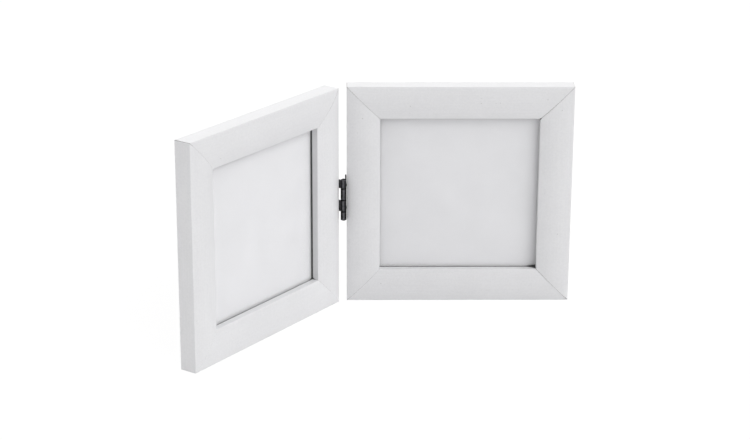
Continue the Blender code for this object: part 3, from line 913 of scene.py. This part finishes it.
def growRing(name, piece, count, radius, finish, start=0.0, turn=0.0, loose=0.0, seed=0):
    values = {"Piece": piece, "Count": count, "Radius": radius, "Start": radians(start),
              "Turn": radians(turn), "Loose turn": radians(loose), "Seed": seed, "Finish": finish}
    return growMesh(name, ringTree, values)


# Frames

paints = {part: makePaint(part) for part in paint["parts"]}
shadedRawWood = makeShadedRawWood()
mouldingTree = mouldingGraph()
ringTree = ringGraph()
cornerReach = halfSide - nail["inset"]
nailDepth = depthOf("right_top_outer_corner_nail")
headSeat = depthOf("right_top_rail_turn_button_screw")[1] - panScrew["headHeight"]
buttonDepth = depthOf("right_bottom_rail_turn_button")


def frameCutters():
    # In the ring's own axes, for the rail that lies at +x
    depth = -nailDepth[0] + nail["play"] + cutterSpare
    lift = Matrix.Translation((0, 0, cutterSpare - depth / 2))
    slot = moved(flatPiece([nailOutline(nail["play"])], depth), lift)
    cutters = []
    for upward, turn in ((1, 0), (-1, -90)):
        place = Matrix.Translation((cornerReach, upward * cornerReach, 0))
        cutters.append(moved(slot, place @ Matrix.Rotation(radians(turn), 4, "Z")))
    hole = drill(panScrew["shankRadius"] + holePlay, panScrew["length"])
    cutters.append(moved(hole, Matrix.Translation((buttonReach, 0, 0))))
    return cutters


def mitreEnds(side, stand, member):
    # A rail's low end meets the next rail round the ring, and its high end the one before
    order = sorted(stand["angles"], key=stand["angles"].get)
    spot = order.index(member)
    ends = []
    for other in (order[(spot + 1) % len(order)], order[spot - 1]):
        rail, stile = sorted((member, other), key=lambda name: name.endswith("stile"))
        mitre = f"{side}_{rail.split('_')[0]}_{stile.split('_')[0]}"
        gaps = tuple(gap * mm for gap in mitreGaps[mitre])
        shadeWedge, dot = paintedCornerShade.get(mitre, (0.0, 0.0))
        ends.append({"gaps": gaps, "seamAndShade": ((gaps[1] + gaps[2]) / 2, shadeWedge * mm, dot * mm)})
    return ends


def markPlaces(mesh, low, high):
    # Where each point lies on its rail, inwards, forwards and along, and how its nearer mitre looks, with its
    # painted corner shade
    names = ("railPlace", "nearMitre")
    for name in names:
        mesh.attributes.new(name, "FLOAT_VECTOR", "POINT")
    places, mitres = [mesh.attributes[name].data for name in names]
    for place, mitre, vertex in zip(places, mitres, mesh.vertices):
        place.vector = (halfSide - vertex.co.x, -railDepth - vertex.co.z, -vertex.co.y)
        mitre.vector = (high if place.vector.z > 0 else low)["seamAndShade"]


def makeRails(side, stand, sectionCurve, seed):
    railToRing = basis((-1, 0, 0), (0, 0, -1), (0, -1, 0), (halfSide, 0, -railDepth))
    cutters = frameCutters()
    for number, member in enumerate(members):
        low, high = mitreEnds(side, stand, member)
        values = {"Section": sectionCurve, "Length": 2 * halfSide, "Rings": moulding["rings"],
                  "Width": railWidth, "Depth": railDepth, "Rebate": railWidth - moulding["rebateWidth"],
                  "Lip back": moulding["innerDrop"] + moulding["lipThickness"],
                  "Low end gaps": low["gaps"], "High end gaps": high["gaps"],
                  "Seed": seed + moulding["seedStep"] * number, **moulding["slack"],
                  "Paint": paints[f"{side} {member.split('_')[1]}"], "Shaded raw wood": shadedRawWood}
        name = f"{side}_{member}"
        bar = moved(growMesh(name, mouldingTree, values), railToRing)
        toWorld = stand["matrix"] @ stand["turns"][member]
        tools = [cutter.copy() for cutter in cutters]
        if member == "hinge_stile":
            hole = drill(flatScrew["shankRadius"] + holePlay, flatScrew["length"])
            tools += [moved(hole, toWorld.inverted() @ seat) for seat in leafScrewSeats(stand)]
        mesh = cut(bar, tools)
        markPlaces(mesh, low, high)
        mesh.transform(toWorld)
        addPiece(name + "_moulding", mesh, stand["body"], [name])


sheets = {  # how round its corners and its rims are, and its slot
    "pane": (0.6 * mm, 0.16 * mm, "clear_glass"),
    "backing_board": (0.8 * mm, 0.30 * mm, "fibre_board"),
}
flatFace = 0.9  # a face whose normal leans less than this towards z is an edge


def makeSheets(side, stand):
    finishes = {"pane": (clearPane, paneEdge), "backing_board": (fibreBoard,)}
    for sheet, (cornerRound, edgeRound, slot) in sheets.items():
        low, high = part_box("right_" + sheet)
        outline = roundedSquare((high.x - low.x) / 2, cornerRound)
        mesh = flatPiece([outline], high.y - low.y, edgeRound)
        for finish in finishes[sheet]:
            mesh.materials.append(finish)
        for face in mesh.polygons:
            face.material_index = 0 if abs(face.normal.z) > flatFace else len(mesh.materials) - 1
        middle = Matrix.Translation((0, 0, (low.y + high.y) / 2 - backPlane))
        mesh.transform(stand["matrix"] @ middle)
        node = f"{side}_{sheet}"
        addPiece(node + "_sheet", mesh, stand["body"], [node])
    for card, finish in (("insert_card", papers[side]), ("packing_card", packingCard)):
        frame["nodes"][f"{side}_{card}"].material_slots[0].material = finish


def makeNails(side, stand, nailObject):
    radius = cornerReach * sqrt(2)
    mesh = growRing(side + " nails", nailObject, 4, radius, nailSteel, start=45, turn=-45)
    mesh.transform(stand["matrix"] @ Matrix.Translation((0, 0, sum(nailDepth) / 2)))
    corners = [row + column for row in ("top_", "bottom_") for column in ("outer", "hinge")]
    nodes = [f"{side}_{corner}_corner_nail" for corner in corners]
    addPiece(side + "_corner_nails", mesh, stand["body"], nodes)


def makeButtonScrews(side, stand, screwObject, seed):
    loose = panScrew["looseTurn"]
    mesh = growRing(side + " screws", screwObject, 4, buttonReach, zincPlate, loose=loose, seed=seed)
    mesh.transform(stand["matrix"] @ Matrix.Translation((0, 0, headSeat)))
    screws = [f"{side}_{member}_turn_button_screw" for member in members]
    addPiece(side + "_button_screws", mesh, stand["body"], screws)


# Turn buttons: a stamped plate round its screw, its nose lifted off the board

button = {
    "rootRadius": 4.2 * mm,
    "noseRadius": 2.8 * mm,
    "reach": 9.0 * mm,
    "sheet": 0.8 * mm,
    "liftLength": 2.5 * mm,
    "bendEase": 0.6,
    "bendSteps": 10,
    "edgeRound": 0.14 * mm,
}


def buttonMesh():
    plan = arc((0, 0), button["rootRadius"], 90, 270, 28)
    plan += arc((button["reach"], 0), button["noseRadius"], -90, 90, 24)
    hole = circle((0, 0), panScrew["shankRadius"] + holePlay)
    mesh = flatPiece([plan, hole], button["sheet"], button["edgeRound"])
    tip = button["reach"] + button["noseRadius"]
    start = tip - button["liftLength"]
    lift = buttonDepth[1] - buttonDepth[0] - button["sheet"]
    work = bmesh.new()
    work.from_mesh(mesh)
    for step in range(button["bendSteps"]):
        parts = work.verts[:] + work.edges[:] + work.faces[:]
        place = start + button["liftLength"] * step / button["bendSteps"]
        bmesh.ops.bisect_plane(work, geom=parts, plane_co=(place, 0, 0), plane_no=(1, 0, 0))
    for vertex in work.verts:
        share = max(0.0, (vertex.co.x - start) / button["liftLength"])
        vertex.co.z += lift * share * share * (1 + button["bendEase"] * (1 - share))
    return cleanMesh(meshFrom(work, "button"))


def makeButtons(side, stand, mesh):
    height = buttonDepth[0] + button["sheet"] / 2
    for member in members:
        seat = Matrix.Translation((buttonReach, 0, height)) @ Matrix.Rotation(pi, 4, "Z")
        node = f"{side}_{member}_turn_button"
        placed = moved(mesh, stand["matrix"] @ stand["turns"][member] @ seat)
        addPiece(node + "_plate", placed, node, [node], [zincPlate])


# Hinge: two leaves, each a plate with two rolled knuckles, on one pin

hinge = {
    "knuckleRadius": 2.05 * mm,
    "boreRadius": 0.91 * mm,
    "sheet": 1.0 * mm,
    "leafDepth": 13.0 * mm,
    "leafCorner": 1.6 * mm,
    "plateStart": 0.55,  # where a plate ends inside its knuckles, of their radius
    "swingGap": 1.3 * mm,
    "knuckleGap": 0.42 * mm,
    "endKnuckle": 6.4 * mm,
    "edgeRound": 0.16 * mm,
    "seam": 7.0,  # degrees that the rolled sheet stops short
    "screwInset": 7.7 * mm,
    "pinRadius": 0.85 * mm,
    "pinHead": 0.6 * mm,
    "pinSteps": 8,
}
hingeLow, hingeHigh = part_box("hinge_right_leaf")
hingeHalf = (hingeHigh.z - hingeLow.z) / 2
innerKnuckle = hingeHalf - hinge["endKnuckle"]
knuckleEnds = (hingeHalf, innerKnuckle, 0.0, -innerKnuckle, -hingeHalf)


def leafScrewSeats(stand):
    # Where each leaf screw's head lies, its own z pointing out of the leaf
    face = hinge["knuckleRadius"] - hinge["sheet"]
    out = -stand["outward"]
    seats = []
    for upward in (1, -1):
        place = hingeMiddle + stand["outward"] * face + stand["back"] * hinge["screwInset"]
        seats.append(basis(up.cross(out), up, out, place + up * upward * flatScrew["spacing"] / 2))
    return seats


def knuckleSpan(index, gap):
    # A knuckle's ends, with this gap to the next knuckles but none at the hinge's own ends
    low, high = knuckleEnds[index + 1], knuckleEnds[index]
    return low + (gap if low > -hingeHalf else 0), high - (gap if high < hingeHalf else 0)


def leafPlate(own):
    # x from the axis to the back, y up; deep between its own knuckles and cut back beside the others
    far = hinge["leafDepth"]
    near = hinge["knuckleRadius"] * hinge["plateStart"]
    clear = hinge["knuckleRadius"] + hinge["swingGap"]
    gap = hinge["knuckleGap"] / 2
    corner = hinge["leafCorner"]
    outline = arc((far - corner, -hingeHalf + corner), corner, -90, 0, 8)
    outline += arc((far - corner, hingeHalf - corner), corner, 0, 90, 8)
    for index in range(len(knuckleEnds) - 1):
        depth = near if index in own else clear
        low, high = knuckleSpan(index, gap if index in own else -gap)
        outline += [(depth, high), (depth, low)]
    outline = [point for index, point in enumerate(outline) if point != outline[index - 1]]
    head = flatScrew["headRadius"] + holePlay
    holes = [circle((hinge["screwInset"], upward * flatScrew["spacing"] / 2), head, 32) for upward in (1, -1)]
    return flatPiece([outline, *holes], hinge["sheet"], hinge["edgeRound"])


def knuckleRing(length):
    # Seen along the pin: rolled sheet whose end stops short of the plate
    start = hinge["seam"] + 90
    end = 360 + 90
    outline = arc((0, 0), hinge["knuckleRadius"], start, end, 56)
    outline += arc((0, 0), hinge["boreRadius"], end, start, 40)
    return flatPiece([outline], length, hinge["edgeRound"])


def makeLeaf(side, stand, own):
    back = stand["back"]
    outward = stand["outward"]
    middle = hingeMiddle + outward * (hinge["knuckleRadius"] - hinge["sheet"] / 2)
    meshes = [moved(leafPlate(own), basis(back, up, back.cross(up), middle))]
    for index in own:
        low, high = knuckleSpan(index, hinge["knuckleGap"] / 2)
        middle = hingeMiddle + up * (low + high) / 2
        meshes.append(moved(knuckleRing(high - low), basis(outward, back, up, middle)))
    work = bmesh.new()
    for mesh in meshes:
        work.from_mesh(mesh)
    joined = cleanMesh(meshFrom(work, "leaf"))
    node = f"hinge_{side}_leaf"
    addPiece(node + "_rolled", joined, stand["body"], [node], [leafSteel[side]])


def makePin():
    low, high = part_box("hinge_pin")
    seat = (high.z - low.z) / 2 - hinge["pinHead"]
    head = dome((high.x - low.x) / 2, seat, hinge["pinHead"], hinge["pinSteps"])
    profile = head + [(hinge["pinRadius"], seat), (hinge["pinRadius"], -seat)]
    profile += [(radius, -height) for radius, height in reversed(head)]
    mesh = turned(profile)
    mesh.transform(Matrix.Translation((hingeMiddle.x, hingeMiddle.y, (low.z + high.z) / 2)))
    addPiece("hinge_pin_turned", mesh, "right_frame", ["hinge_pin"], [pinSteel])


def makeLeafScrews(side, stand, screwObject, seed):
    upper, lower = leafScrewSeats(stand)
    reach = flatScrew["spacing"] / 2
    loose = flatScrew["looseTurn"]
    mesh = growRing(side + " leaf screws", screwObject, 2, reach, screwSteel, 90, 0, loose, seed)
    middle = upper.copy()
    sink = stand["outward"] * flatScrew["sink"]
    middle.translation = (upper.translation + lower.translation) / 2 + sink
    mesh.transform(middle)
    screws = [f"{side}_leaf_{height}_screw" for height in ("upper", "lower")]
    addPiece(side + "_leaf_screws", mesh, stand["body"], screws)


clearPane = makePane()
paneEdge = makePaneEdge()
papers = {name: makeInsertPaper(name, stand["matrix"]) for name, stand in stands.items()}
packingCard = makeBoard("grey packing card")
fibreBoard = makeBoard("fibre board")
# The painted highlight lies on the barrel's side that faces the right frame's front
front = -stands["right"]["back"]
leftHighlightFront = Matrix.Rotation(radians(plating["leftHighlightTurn"]), 3, "Z") @ front
leafSteel = {
    "left": makeDarkSteel("left leaf", "leaf", leftHighlightFront),
    "right": makeDarkSteel("right leaf", "leaf", front),
}
pinSteel = makeDarkSteel("pin", "pin", front)
screwSteel = makeDarkSteel("screw", "screw", front)
zincPlate = makeZinc()
nailSteel = makeNailSteel()
print("finishes made")

sectionData = bpy.data.curves.new("moulding section", "CURVE")
sectionData.dimensions = "2D"
addOutline(sectionData, sectionOutline())
sectionCurve = newObject("moulding section", sectionData)
nailSheet = flatPiece([nailOutline()], nailDepth[1] - nailDepth[0], nail["edgeRound"])
nailObject = newObject("corner nail", nailSheet)
panObject = newObject("pan screw", panScrewMesh())
flatObject = newObject("flat screw", flatScrewMesh())
plateMesh = buttonMesh()
for seed, (side, stand) in enumerate(stands.items(), 1):
    makeRails(side, stand, sectionCurve, moulding["seed"] * seed)
    makeSheets(side, stand)
    makeNails(side, stand, nailObject)
    makeButtonScrews(side, stand, panObject, seed)
    makeButtons(side, stand, plateMesh)
    makeLeafScrews(side, stand, flatObject, seed)
    print(side, "frame made")
makeLeaf("left", stands["left"], (0, 2))
makeLeaf("right", stands["right"], (1, 3))
makePin()
for pattern in (sectionCurve, nailObject, panObject, flatObject):
    bpy.data.objects.remove(pattern, do_unlink=True)
print("hinge made")
